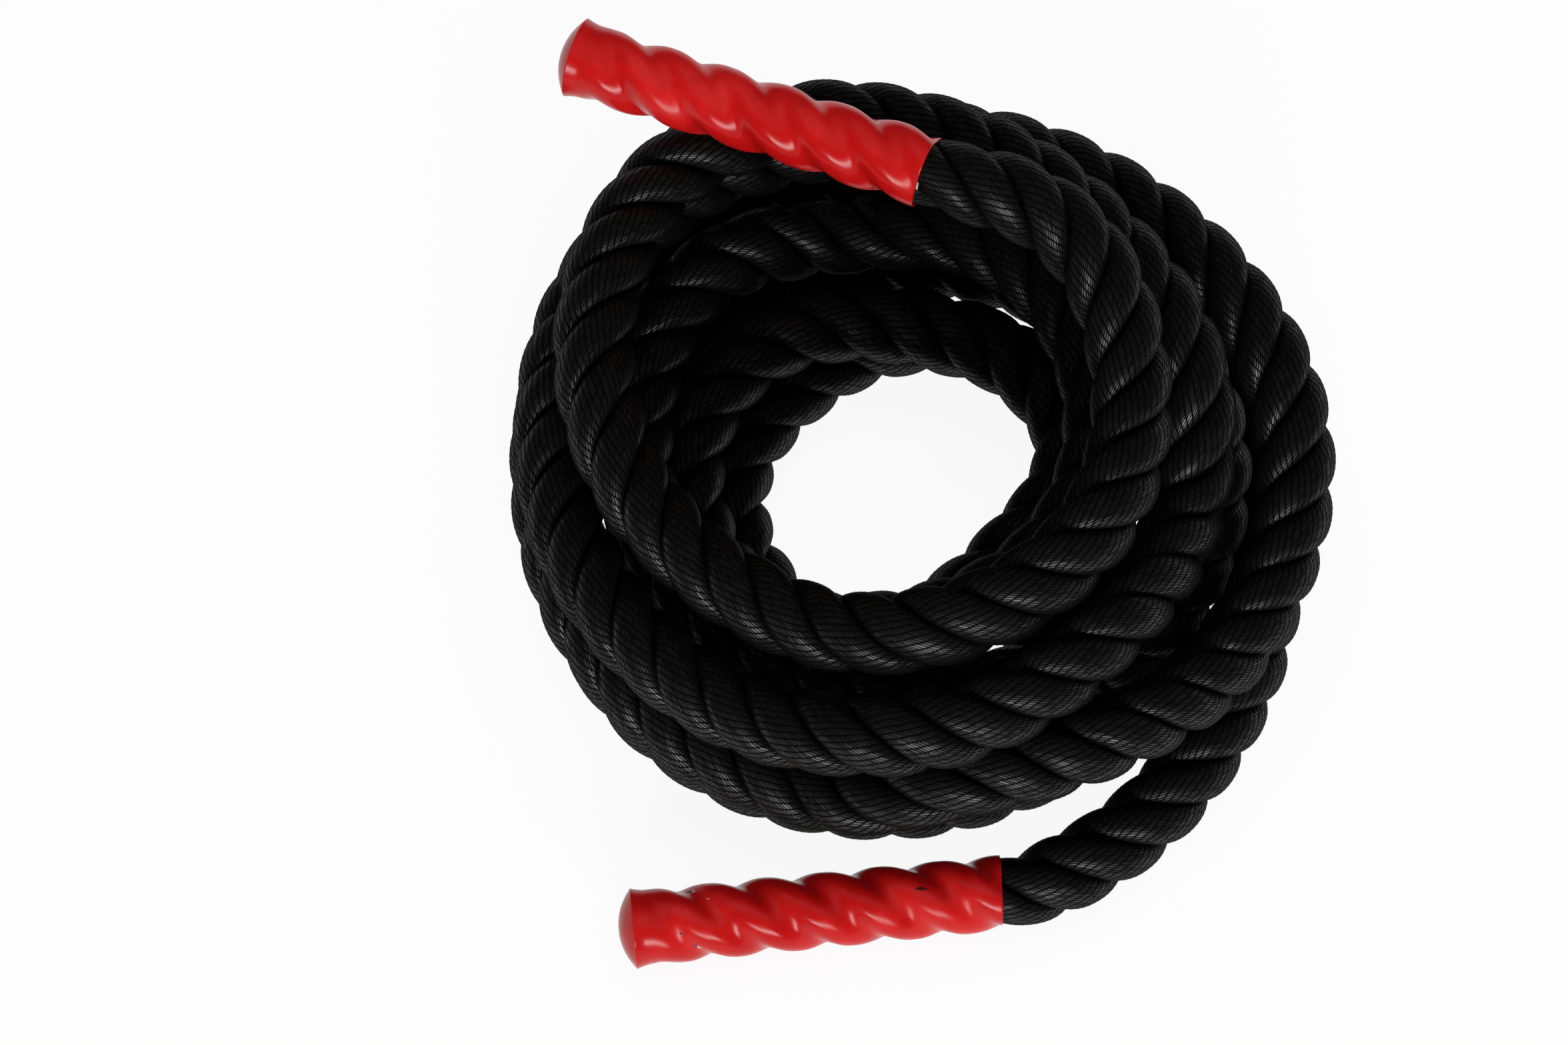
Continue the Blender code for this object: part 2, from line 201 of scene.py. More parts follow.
def softened(heights):
    """The largest height within a stiff reach on both sides, smoothed over the same reach."""
    half = int(round(STIFF_REACH / SAMPLE_STEP))
    window = 2 * half + 1
    padded = np.pad(heights, half, mode="edge")
    highest = np.lib.stride_tricks.sliding_window_view(padded, window).max(axis=1)
    weights = np.hanning(window + 2)[1:-1]
    return np.convolve(np.pad(highest, half, mode="edge"), weights / weights.sum(), mode="valid")


def settled_heights(plan, along, coil_start):
    """Lay the rope down from its lower end. The height above an earlier round is
    the square root of diameter squared minus the distance seen from above, squared."""
    in_sleeve = (along < SLEEVE_LENGTH) | (along > along[-1] - SLEEVE_LENGTH)
    radii = np.where(in_sleeve, SLEEVE_RIM_RADIUS, ROPE_DIAMETER / 2)
    floor = np.full(len(plan), ROPE_DIAMETER / 2 + FACE_GAP)
    floor[along > coil_start + SETTLING_START] = ROPE_DIAMETER * (0.5 - FLAT_CUT_SHARE)
    apart = np.linalg.norm(plan[:, None] - plan[None, :], axis=2)
    clear = radii[:, None] + radii[None, :] + LAY_GAP
    below = (along[None, :] < along[:, None] - OWN_STRETCH) & (apart < clear)
    lift = np.sqrt(np.maximum(clear**2 - apart**2, 0))
    in_upper_sleeve = along > along[-1] - SLEEVE_LENGTH
    before_sleeve = np.maximum(along[-1] - SLEEVE_LENGTH - along, 0)
    heights = floor
    for _ in range(SETTLING_ROUNDS):
        needed = np.maximum(np.where(below, heights[None, :] + lift, 0).max(axis=1), floor)
        needed = np.maximum(needed, needed[in_upper_sleeve].max() - UPPER_LEAD_SLOPE * before_sleeve)
        heights = softened(needed)
    return heights


turned = np.unwrap(np.arctan2(plan[:, 1], plan[:, 0]))
coil_start = np.interp(COIL_START_DIRECTION, turned, along)
heights = settled_heights(plan, along, coil_start)
route = np.column_stack([plan + PILE_CENTRE, heights])
print("height of the upper sleeve's axis:", round(heights[-1], 4))

# %% [markdown]
# ## Three strands laid together
#
# A laid rope is three strands that wind round each other, here to the right. They are pulled
# together so hard that they press each other flat where they meet, and only their outer sides
# stay round. Seen in a cut across the rope, each strand keeps to its own third: an ellipse, cut
# off by the two planes that it shares with its neighbours. Near the handles, which squeeze the
# rope, everything gets a little thinner. The winding could be a bump on one thick tube, but then
# the outline would be smooth, and a rope's outline has the strands in it.

# %% The strands' sizes
STRANDS = 3
ROPE_RADIUS = ROPE_DIAMETER / 2
STRAND_MIDDLE_SHARE = 0.485
STRAND_HALF_WIDTH_SHARE = 0.64
SHARED_PLANE_GAP = 0.0001
CORNER_SHARPNESS = 14
LAY_LENGTH = 0.0815
LOWER_SLEEVE_LAY = 0.0805
UPPER_SLEEVE_LAY = 0.084
LOWER_LOBE_TURN = radians(35)
UPPER_LOBE_TURN = radians(-38)
MOUTH_RADIUS = 0.0162
NECK_LENGTH = 0.034
INSIDE_SLEEVE = 0.006
STRAND_STEP = 0.0027
STRAND_SIDES = 32
BACK_SIDES = 6
FRONT_HALF_ANGLE = 0.56 * pi
SMOOTHING_REACH = 3
FLOOR_SOFTNESS = 0.0012


def frame_along(points):
    """Unit tangent, sideways and upper directions: sideways is level and square to the rope."""
    tangent = np.gradient(points, axis=0)
    tangent /= np.linalg.norm(tangent, axis=1)[:, None]
    side = np.cross(np.array([0.0, 0.0, 1.0]), tangent)
    side /= np.linalg.norm(side, axis=1)[:, None]
    return tangent, side, np.cross(tangent, side)


def smooth_step(values):
    """0 below 0, 1 above 1, and 3x^2 - 2x^3 between."""
    values = np.clip(values, 0, 1)
    return values * values * (3 - 2 * values)


def above_floor(points):
    """Flatten what the weight presses on the floor: height becomes a soft maximum of itself and 0."""
    z = points[..., 2]
    points[..., 2] = (z + np.sqrt(z * z + FLOOR_SOFTNESS**2)) / 2
    return points


def grid_mesh(name, points, uv):
    """A skin over a grid of rings (first index along, second round). The rings are closed, and each
    end ring is filled by one face. The surface coordinates u and v are metres round and along."""
    rings, sides = points.shape[:2]
    index = np.arange(rings * sides).reshape(rings, sides)
    turned_on = np.roll(index, -1, axis=1)
    quads = np.stack([index[:-1], turned_on[:-1], turned_on[1:], index[1:]], axis=-1).reshape(-1, 4)
    faces = quads.tolist() + [index[0][::-1].tolist(), index[-1].tolist()]
    mesh = bpy.data.meshes.new(name)
    mesh.from_pydata(points.reshape(-1, 3).tolist(), [], faces)
    u, v = uv
    layer = mesh.uv_layers.new(name="surface")
    corner_u = np.stack([u[:-1], u[1:], u[1:], u[:-1]], axis=-1)
    corner_v = np.stack([v[:-1], v[:-1], v[1:], v[1:]], axis=-1)[:, None, :]
    every_corner = (rings - 1, sides, 4)
    corners = np.stack([np.broadcast_to(corner, every_corner) for corner in (corner_u, corner_v)], axis=-1)
    flat = np.zeros(2 * len(mesh.loops))
    flat[:corners.size] = corners.ravel()
    layer.data.foreach_set("uv", flat)
    mesh.polygons.foreach_set("use_smooth", np.ones(len(mesh.polygons), bool))
    mesh.update()
    made = bpy.data.objects.new(name, mesh)
    bpy.context.scene.collection.objects.link(made)
    return made


print("rings along each strand are this far apart:", STRAND_STEP)

# %% [markdown]
# ## Winding the strands
#
# Each strand is its cut, carried along the rope's centre line and turned a little further at each
# ring. A curve object with a bevel could carry it too, but it would choose its own twist, and here
# the winding has to meet the lobes of both handles. So the points of each ring are worked out
# directly, and the lay is changed by a fraction so that the strands arrive where those lobes are.

# %% The strands
first = SLEEVE_LENGTH - INSIDE_SLEEVE
last = along[-1] - SLEEVE_LENGTH + INSIDE_SLEEVE
count = int((last - first) / STRAND_STEP) + 1
position = np.linspace(first, last, count)
centre_line = np.column_stack([np.interp(position, along, route[:, k]) for k in range(3)])
weights = np.hanning(2 * SMOOTHING_REACH + 3)[1:-1]
weights /= weights.sum()
margins = ((SMOOTHING_REACH, SMOOTHING_REACH), (0, 0))
padded = np.pad(centre_line, margins, mode="reflect", reflect_type="odd")
centre_line = np.column_stack([np.convolve(padded[:, k], weights, mode="valid") for k in range(3)])
from_mouth = np.minimum(position - SLEEVE_LENGTH, along[-1] - SLEEVE_LENGTH - position)
rope_radius = MOUTH_RADIUS + (ROPE_RADIUS - MOUTH_RADIUS) * smooth_step(from_mouth / NECK_LENGTH)

free_length = along[-1] - 2 * SLEEVE_LENGTH
mismatch = 0.5 - (LOWER_LOBE_TURN + UPPER_LOBE_TURN) / (2 * pi)
thirds_of_turns = round(STRANDS * (free_length / LAY_LENGTH + mismatch))
lay = free_length / (thirds_of_turns / STRANDS - mismatch)
winding = pi - LOWER_LOBE_TURN + 2 * pi * (position - SLEEVE_LENGTH) / lay
print("rope between the sleeves:", round(free_length, 3), "lay:", round(lay, 4))


def strand_section():
    """A strand's cut in its own third, for a rope of radius 1: radial and sideways places. Round the
    strand's middle the distance is a soft minimum of an ellipse's and of the two shared planes'."""
    front = np.linspace(-FRONT_HALF_ANGLE, FRONT_HALF_ANGLE, STRAND_SIDES - BACK_SIDES + 1)
    back = np.linspace(FRONT_HALF_ANGLE, 2 * pi - FRONT_HALF_ANGLE, BACK_SIDES + 1)[1:-1]
    angle = np.concatenate([back - 2 * pi, front, back])
    angle = angle[(angle >= -pi) & (angle < pi - 1e-9)]
    middle, wide = STRAND_MIDDLE_SHARE, STRAND_HALF_WIDTH_SHARE
    ellipse = 1 / np.hypot(np.cos(angle) / (1 - middle), np.sin(angle) / wide)
    to_plane = middle * sin(pi / STRANDS) - SHARED_PLANE_GAP / 2 / ROPE_RADIUS
    facing = [np.maximum(np.cos(angle - turn), 1e-3) for turn in (5 * pi / 6, -5 * pi / 6)]
    parts = np.array([ellipse, to_plane / facing[0], to_plane / facing[1]])
    distance = (parts ** -CORNER_SHARPNESS).sum(axis=0) ** (-1 / CORNER_SHARPNESS)
    return middle + distance * np.cos(angle), distance * np.sin(angle)


section_out, section_side = strand_section()
closed = np.stack([np.append(section_out, section_out[0]), np.append(section_side, section_side[0])], axis=1)
round_strand = length_along(closed) * ROPE_RADIUS
STRAND_GIRTH = round_strand[-1]
round_strand = round_strand - STRAND_GIRTH / 2
print("round one strand:", round(STRAND_GIRTH, 4), "sides:", len(section_out))


def add_strand(number):
    """One strand: its section stands square to the rope's centre line and turns as it goes along."""
    tangent, side, upper = frame_along(centre_line)
    angle = winding + 2 * pi * number / STRANDS
    outward = np.cos(angle)[:, None] * side + np.sin(angle)[:, None] * upper
    across = np.cross(tangent, outward)
    section = section_out[:, None] * outward[:, None] + section_side[:, None] * across[:, None]
    skin = centre_line[:, None] + rope_radius[:, None, None] * section
    return grid_mesh(f"rope_strand_{number + 1}", above_floor(skin), uv=(round_strand, position))


strands = [add_strand(number) for number in range(STRANDS)]
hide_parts("rope_coil", "rope_lead_lower", "rope_lead_upper")
for strand in strands:
    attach(strand, "root")
print("triangles in each strand:", 2 * len(strands[0].data.polygons))

# %% [markdown]
# ## The two handles
#
# The handles are heat-shrink tube with a closed, domed end. In the oven the tube shrinks until
# it lies tight on the rope, so it takes over the three strands as soft lobes that wind round the
# handle. At its end it can't shrink further than its own cap, so a lip flares out to a rim. The shape
# is one surface: the distance from the handle's axis is a function of the place along the axis
# and of the angle round it.

# %% The handles' sizes
SLEEVE_CREST_RADIUS = 0.0176
SLEEVE_GROOVE_DEPTH = 0.0029
SLEEVE_GROOVE_POWER = 1.35
SLEEVE_WALL = 0.0012
SLEEVE_NECK_RADIUS = 0.0173
LOBES_FADE = 0.021
LIP_LENGTH = 0.0065
SLEEVE_DOME_HEIGHT = 0.007
SLEEVE_BODY = SLEEVE_LENGTH - SLEEVE_DOME_HEIGHT
SLEEVE_SIDES = 132
SLEEVE_RINGS = 190
DOME_RINGS = 26
DOME_POWER = 2.16
LIP_POWER = 1.6
RIM_SOFTENING = 0.0004
FIRST_CAP_SHARES = (0.985, 0.96)
DENT_DEPTH = 0.00012
DENT_WAVES = (190, 71)
CUT_SLANT = 0.0012
CUT_FADE = 0.02


def sleeve_radius(down, angle, wall, lay, lobe_turn):
    """Distance from the axis. The lobes are the crest radius less a power of half of 1 - cos(3 x
    angle), turning with the strands. They fade to a round neck, and a lip rises from it to the
    rim. A few shallow dents are products of slow sine waves."""
    turned = angle - lobe_turn - 2 * pi * down / lay
    groove = ((1 - np.cos(STRANDS * turned)) / 2) ** SLEEVE_GROOVE_POWER
    radius = SLEEVE_CREST_RADIUS - SLEEVE_GROOVE_DEPTH * groove
    to_rim = SLEEVE_BODY - down
    faded = smooth_step(1 - (to_rim - LIP_LENGTH / 2) / LOBES_FADE)
    radius = radius + faded * (SLEEVE_NECK_RADIUS - radius)
    lip = np.clip(1 - to_rim / LIP_LENGTH, 0, 1) ** LIP_POWER
    fine, coarse = DENT_WAVES
    dents = np.sin(2 * angle + fine * down) * np.sin(3 * angle - coarse * down + 1)
    return radius + (SLEEVE_RIM_RADIUS - SLEEVE_NECK_RADIUS) * lip + DENT_DEPTH * dents - wall


def sleeve_skin(axis, lay, lobe_turn, wall):
    """Rings from the mouth to the pole of the cap. The mouth is cut a little obliquely, and the cap's
    height is its full height x (1 - share of the radius to a power)."""
    mouth, tangent, side, upper = axis
    angle = 2 * pi * np.arange(SLEEVE_SIDES)[None, :] / SLEEVE_SIDES
    rings = np.append(np.linspace(0, SLEEVE_BODY - RIM_SOFTENING, SLEEVE_RINGS - 1), SLEEVE_BODY)
    down = rings[:, None] + CUT_SLANT * np.cos(angle) * smooth_step(1 - rings[:, None] / CUT_FADE)
    body = sleeve_radius(down, angle, wall, lay, lobe_turn)
    outermost, second = FIRST_CAP_SHARES
    share = np.append(outermost, np.linspace(second, 0, DOME_RINGS))[:-1, None]
    cap = SLEEVE_BODY + (SLEEVE_DOME_HEIGHT - wall) * (1 - share**DOME_POWER) + 0 * angle
    down = np.concatenate([down, cap])
    radius = np.concatenate([body, body[-1] * share])[..., None]
    outward = np.cos(angle)[..., None] * side + np.sin(angle)[..., None] * upper
    return mouth + down[..., None] * tangent + radius * outward, down[:, 0]


def sleeve_axis(mouth_shares, heading, height):
    """The mouth's middle, the direction to the tip, sideways and up."""
    mouth = np.append(np.array(mouth_shares) * ROPE_DIAMETER + PILE_CENTRE, height)
    tangent = np.append(heading_vector(heading), 0)
    upper = np.array([0.0, 0.0, 1.0])
    return mouth, tangent, np.cross(upper, tangent), upper


def add_sleeve(name, axis, lay, lobe_turn):
    """The inner skin from the cap back to the mouth, then the outer skin from the mouth to the cap."""
    inner, inner_down = sleeve_skin(axis, lay, lobe_turn, SLEEVE_WALL)
    outer, outer_down = sleeve_skin(axis, lay, lobe_turn, 0)
    points = np.concatenate([inner[::-1], outer])
    u = 2 * pi * SLEEVE_CREST_RADIUS * np.linspace(0, 1, SLEEVE_SIDES + 1)
    return grid_mesh(name, points, uv=(u, np.concatenate([inner_down[::-1], outer_down])))


print("length of a handle without its cap:", round(SLEEVE_BODY, 4))

# %% [markdown]
# ## Making both handles
#
# One function makes both handles. They differ in where they lie, where they point, how long their
# lay is and how far their lobes are turned. Each skin runs from the cap down the inside to the
# mouth, and back along the outside to the cap, so the wall has a real thickness at the mouth.

# %% The handles
lower_axis = sleeve_axis(LOWER_MOUTH_SHARES, LOWER_SLEEVE_HEADING, heights[0])
upper_axis = sleeve_axis(UPPER_MOUTH_SHARES, UPPER_SLEEVE_HEADING, heights[-1])
sleeves = [
    add_sleeve("lower_handle_skin", lower_axis, LOWER_SLEEVE_LAY, LOWER_LOBE_TURN),
    add_sleeve("upper_handle_skin", upper_axis, UPPER_SLEEVE_LAY, UPPER_LOBE_TURN),
]
for piece, node in zip(sleeves, ("lower_sleeve", "upper_sleeve")):
    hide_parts(node)
    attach(piece, "root")
print("triangles in each handle:", 2 * len(sleeves[0].data.polygons))

# %% [markdown]
# ## Where the rope starts and ends
#
# The rope is one free rope. Its centre line starts at the mouth of the lower handle and goes into
# the upper one.

# %% [markdown]
# ## Small tools for materials
#
# A material here is a small graph of nodes. A few helpers keep the graphs short: they add a node
# with its values, do a sum, make a smooth step or mix two colours. An effect that several finishes
# share is a node group with named inputs and outputs.

# %% Node helpers
def add_node(tree, kind, settings=None, **inputs):
    """A node of a kind, with its settings, and with a value or another node's socket on each input. An
    input is named by its name, or by its number after an underscore."""
    node = tree.nodes.new("ShaderNode" + kind)
    for key, value in (settings or {}).items():
        setattr(node, key, value)
    for key, value in inputs.items():
        socket = node.inputs[int(key[1:])] if key[1:].isdigit() else node.inputs[key.replace("_", " ")]
        if isinstance(value, bpy.types.NodeSocket):
            tree.links.new(value, socket)
        else:
            socket.default_value = value
    return node


def math_node(tree, operation, *values):
    """The result of one sum of values or sockets."""
    inputs = {f"_{k}": value for k, value in enumerate(values)}
    return add_node(tree, "Math", {"operation": operation}, **inputs).outputs[0]


def ramp(tree, value, low, high):
    """0 below the low value, 1 above the high one, smooth between."""
    node = add_node(tree, "MapRange", {"interpolation_type": "SMOOTHSTEP"}, Value=value)
    node.inputs["From Min"].default_value = low
    node.inputs["From Max"].default_value = high
    return node.outputs["Result"]


def mixed_color(tree, share, low, high):
    """The low colour at share 0, the high one at share 1."""
    node = add_node(tree, "Mix", {"data_type": "RGBA"})
    for socket, value in zip((node.inputs[0], node.inputs[6], node.inputs[7]), (share, low, high)):
        if isinstance(value, bpy.types.NodeSocket):
            tree.links.new(value, socket)
        else:
            socket.default_value = value
    return node.outputs[2]


def new_group(name, inputs, outputs):
    """A shader node group; each input is (name, default), each output a name."""
    group = bpy.data.node_groups.new(name, "ShaderNodeTree")
    for label, value in inputs:
        socket = group.interface.new_socket(label, in_out="INPUT", socket_type="NodeSocketFloat")
        socket.default_value = value
    for label in outputs:
        group.interface.new_socket(label, in_out="OUTPUT", socket_type="NodeSocketFloat")
    start = group.nodes.new("NodeGroupInput")
    end = group.nodes.new("NodeGroupOutput")
    return group, start.outputs, end.inputs


def use_group(tree, group, **inputs):
    """The outputs of a shared node group, used with these input values."""
    node = tree.nodes.new("ShaderNodeGroup")
    node.node_tree = group
    for key, value in inputs.items():
        node.inputs[key].default_value = value
    return node.outputs


def new_material(name, **sockets):
    """A material whose Principled shader starts with these plain values."""
    material = bpy.data.materials.new(name)
    material.use_nodes = True
    shader = material.node_tree.nodes["Principled BSDF"]
    for key, value in sockets.items():
        shader.inputs[key.replace("_", " ")].default_value = value
    return material, material.node_tree, shader


print("materials before the first finish:", len(bpy.data.materials))

# %% [markdown]
# ## The rope's yarns
#
# Each strand is a bundle of yarns, and each yarn is twisted from plies. On the surface a yarn is
# a low ridge that runs almost along the rope, and its plies are short slanting stitches on that
# ridge. Both are waves in the strand's own coordinates, u metres round the strand and v metres
# along the rope. A point that stays at the same u still moves round the rope as the strand does,
# so v counts twice: along the rope, and across it by the strand's slope.

# %% The yarn pattern
YARN_SPACING = 0.0031
YARN_LEAN = radians(-7)
STITCH_SPACING = 0.0015
STITCH_SLANT = radians(42)
STITCH_WANDER = 1.6
STITCHES_APART = 37.3
WANDER_SCALE = 110.0
STRAND_SLOPE = 2 * pi * ROPE_RADIUS / LAY_LENGTH


def pattern_phase(tree, surface, along_share, across_share, spacing):
    """Waves counted along one direction: (along x share + across x share) / spacing, where along is v
    and across is u plus the slope times v."""
    u_part = math_node(tree, "MULTIPLY", surface[0], across_share / spacing)
    v_share = (along_share + across_share * STRAND_SLOPE) / spacing
    return math_node(tree, "MULTIPLY_ADD", surface[1], v_share, u_part)


def arch(tree, phase, power):
    """(1 - (2 frac(phase) - 1)^2)^power, a row of arches with sharp valleys; a power of 0.5 gives half
    circles and 1 gives lower parabolas."""
    swing = math_node(tree, "MULTIPLY_ADD", math_node(tree, "FRACT", phase), 2.0, -1.0)
    left = math_node(tree, "SUBTRACT", 1.0, math_node(tree, "MULTIPLY", swing, swing))
    return math_node(tree, "POWER", math_node(tree, "MAXIMUM", left, 0.0), power)


def random_number(tree, value):
    """A random number between 0 and 1 that is always the same for the same value."""
    return add_node(tree, "TexWhiteNoise", {"noise_dimensions": "1D"}, W=value).outputs["Value"]


def make_yarn_pattern():
    """Ridge and stitch arches, and a random number for each yarn and for each stitch."""
    outputs = ("Ridge", "Stitch", "Each yarn", "Each stitch")
    group, given, result = new_group("yarn_pattern", [("Wander", 0.5)], outputs)
    uv = add_node(group, "UVMap", {"uv_map": "surface"}).outputs["UV"]
    surface = add_node(group, "SeparateXYZ", Vector=uv).outputs
    local = add_node(group, "TexCoord").outputs["Object"]
    wander = add_node(group, "TexNoise", Vector=local, Scale=WANDER_SCALE, Detail=3.0).outputs[0]
    wander = math_node(group, "MULTIPLY", wander, given["Wander"])
    lean, slant = YARN_LEAN, YARN_LEAN + STITCH_SLANT
    yarns = pattern_phase(group, surface, -sin(lean), cos(lean), YARN_SPACING)
    yarns = math_node(group, "ADD", yarns, wander)
    yarn_number = math_node(group, "FLOOR", yarns)
    each_yarn = random_number(group, yarn_number)
    stitches = pattern_phase(group, surface, sin(slant), -cos(slant), STITCH_SPACING * sin(STITCH_SLANT))
    stitches = math_node(group, "ADD", stitches, each_yarn)
    stitches = math_node(group, "MULTIPLY_ADD", wander, STITCH_WANDER, stitches)
    stitch_number = math_node(group, "FLOOR", stitches)
    stitch_number = math_node(group, "MULTIPLY_ADD", yarn_number, STITCHES_APART, stitch_number)
    ridge, stitch = arch(group, yarns, 0.5), arch(group, stitches, 0.8)
    for value, label in zip((ridge, stitch, each_yarn, random_number(group, stitch_number)), outputs):
        group.links.new(value, result[label])
    return group


def make_cloudiness():
    """Slow patches: two noises, one fine and one coarse, multiplied."""
    group, given, result = new_group("cloudiness", [("Scale", 20.0)], ("Patches",))
    local = add_node(group, "TexCoord").outputs["Object"]
    coarse = add_node(group, "TexNoise", Vector=local, Scale=given["Scale"], Detail=3.0).outputs[0]
    finer = math_node(group, "MULTIPLY", given["Scale"], 4.0)
    fine = add_node(group, "TexNoise", Vector=local, Scale=finer, Detail=4.0).outputs[0]
    patches = ramp(group, math_node(group, "MULTIPLY", coarse, fine), 0.12, 0.42)
    group.links.new(patches, result["Patches"])
    return group


yarn_pattern = make_yarn_pattern()
cloudiness = make_cloudiness()
print("shared node groups:", yarn_pattern.name, cloudiness.name)

# %% The rope's finish
RIDGE_HEIGHT = 0.0004
STITCH_HEIGHT = 0.00042
# Painted shade: the valley colour darkens the rope between the yarns, where shade falls.
PAINTED_VALLEY_SHADE_COLOR = (0.0005, 0.0006, 0.0006, 1)
RIDGE_COLOR = (0.0016, 0.0019, 0.0017, 1)


def make_rope_finish():
    """Black polyester: dull, with painted shade that makes it darkest in the valleys between the yarns.
    Where a stitch lies on top its filaments are smooth, so a coat on the stitches alone gives the small
    bright dashes. Fuzz hides the coat where the surface turns away."""
    material, tree, shader = new_material(
        "black_polyester_rope", Specular_IOR_Level=0.08, Coat_Roughness=0.42, Coat_IOR=1.65,
    )
    yarns = use_group(tree, yarn_pattern)
    patches = use_group(tree, cloudiness, Scale=25.0)["Patches"]
    raised = yarns["Ridge"]
    stitch = math_node(tree, "MULTIPLY", math_node(tree, "MULTIPLY", yarns["Stitch"], raised), STITCH_HEIGHT)
    height = math_node(tree, "MULTIPLY_ADD", raised, RIDGE_HEIGHT, stitch)
    bump = add_node(tree, "Bump", Height=height, Distance=1.0, Strength=1.0)
    tree.links.new(bump.outputs["Normal"], shader.inputs["Normal"])
    # Painted shade: the colour goes from the ridge colour down to the darker valley colour between the
    # yarns, and slow patches vary the tone.
    light = math_node(tree, "MULTIPLY", raised, math_node(tree, "MULTIPLY_ADD", patches, 0.4, 0.6))
    color = mixed_color(tree, light, PAINTED_VALLEY_SHADE_COLOR, RIDGE_COLOR)
    tree.links.new(color, shader.inputs["Base Color"])
    on_ridge, on_stitch = ramp(tree, raised, 0.5, 0.9), ramp(tree, yarns["Stitch"], 0.5, 0.95)
    smooth = math_node(tree, "MULTIPLY", on_ridge, on_stitch)
    tree.links.new(math_node(tree, "MULTIPLY_ADD", smooth, -0.3, 0.8), shader.inputs["Roughness"])
    grazing = add_node(tree, "LayerWeight", Blend=0.5).outputs["Facing"]
    shine = math_node(tree, "MULTIPLY", smooth, ramp(tree, grazing, 0.8, 0.4))
    each = math_node(tree, "MULTIPLY_ADD", yarns["Each stitch"], 0.8, 0.2)
    tree.links.new(math_node(tree, "MULTIPLY", shine, each), shader.inputs["Coat Weight"])
    return material


rope_finish = make_rope_finish()
for strand in strands:
    strand.data.materials.append(rope_finish)
print("pieces in", rope_finish.name + ":", len(strands))

# %% [markdown]
# ## The handles' red plastic
#
# Shrunk polyolefin is smooth and glossy, with a faint orange-peel skin, a few rubbed spots where
# the gloss has gone, and small dark scuffs from the gym floor.

# %% The red finish
DEEP_RED = (0.46, 0.005, 0.005, 1)
BRIGHT_RED = (0.56, 0.008, 0.008, 1)
SCUFF_COLOR = (0.05, 0.006, 0.006, 1)
PEEL_DEPTH = 0.00008


def make_scuffs():
    """Sparse short marks: a noise stretched along one axis, kept only where it is near its highest."""
    inputs = [("Scale", 60.0), ("Rarity", 0.7)]
    group, given, result = new_group("scuffs", inputs, ("Marks",))
    local = add_node(group, "TexCoord").outputs["Object"]
    turned = add_node(group, "Mapping", Vector=local)
    turned.inputs["Rotation"].default_value = (0.4, 0.2, radians(35))
    turned.inputs["Scale"].default_value = (1.0, 3.0, 1.0)
    noise = add_node(group, "TexNoise", Vector=turned.outputs[0], Scale=given["Scale"], Detail=3.0)
    over = math_node(group, "SUBTRACT", noise.outputs[0], given["Rarity"])
    group.links.new(ramp(group, over, 0.0, 0.03), result["Marks"])
    return group


scuffs = make_scuffs()


def make_red_finish():
    """Glossy red, a little deeper and glossier in patches, with fine orange peel and rare scuffs."""
    material, tree, shader = new_material("red_shrunk_plastic", Roughness=0.24, Specular_IOR_Level=0.22)
    marks = use_group(tree, scuffs, Scale=70.0, Rarity=0.74)["Marks"]
    patches = use_group(tree, cloudiness, Scale=18.0)["Patches"]
    red = mixed_color(tree, patches, DEEP_RED, BRIGHT_RED)
    tree.links.new(mixed_color(tree, marks, red, SCUFF_COLOR), shader.inputs["Base Color"])
    local = add_node(tree, "TexCoord").outputs["Object"]
    peel = add_node(tree, "TexNoise", Vector=local, Scale=260.0, Detail=2.0).outputs[0]
    bump = add_node(tree, "Bump", Height=peel, Distance=PEEL_DEPTH, Strength=0.6)
    tree.links.new(bump.outputs["Normal"], shader.inputs["Normal"])
    rough = math_node(tree, "MULTIPLY_ADD", patches, 0.12, 0.2)
    rough = math_node(tree, "MULTIPLY_ADD", marks, 0.3, rough)
    tree.links.new(rough, shader.inputs["Roughness"])
    return material


red_finish = make_red_finish()
for piece in sleeves:
    piece.data.materials.append(red_finish)
print("pieces in", red_finish.name + ":", len(sleeves))

# %% [markdown]
# ## The hidden ends
#
# Inside each handle lie the rope's three strand ends, a band of tape round them, and the glue
# that lines the tube. They hardly show, but they keep their own finishes.

# %% Finishes of the hidden pieces
def dress(node_name, material):
    """Give one of the model's own pieces its finish."""
    piece = bpy.data.objects[node_name]
    piece.data.materials.clear()
    piece.data.materials.append(material)


def make_patchy_finish(name, scale, dark, light, **sockets):
    """A plain material whose colour drifts between a darker and a lighter one."""
    material, tree, shader = new_material(name, **sockets)
    patches = use_group(tree, cloudiness, Scale=scale)["Patches"]
    tree.links.new(mixed_color(tree, patches, (*dark, 1), (*light, 1)), shader.inputs["Base Color"])
    return material


glue_finish = make_patchy_finish(
    "hot_melt_glue", 60.0, (0.62, 0.6, 0.55), (0.82, 0.81, 0.78), Roughness=0.25, Transmission_Weight=0.4,
)
tape_finish = make_patchy_finish(
    "black_tape", 60.0, (0.012, 0.012, 0.013), (0.03, 0.03, 0.032), Roughness=0.5,
)
strand_end_finish = make_patchy_finish(
    "black_strand_end", 90.0, (0.003, 0.003, 0.003), (0.012, 0.012, 0.012), Roughness=0.55,
)
for side_name in ("lower", "upper"):
    dress(side_name + "_adhesive", glue_finish)
    dress(side_name + "_end_tape", tape_finish)
    for number in range(STRANDS):
        dress(f"{side_name}_strand_end_{number + 1}", strand_end_finish)
print("hidden pieces in:", glue_finish.name, tape_finish.name, strand_end_finish.name)

# %% [markdown]
# ## The floor
#
# The picture is a product picture on pure white. The floor is white for the camera, and still
# takes a faint shadow: it is a matt surface, mixed with a plain white glow wherever the camera or
# a reflection looks at it.

# %% The floor
FLOOR_SIZE = 12.0
FLOOR_DROP = 0.0002
WHITE_SHARE = 0.92


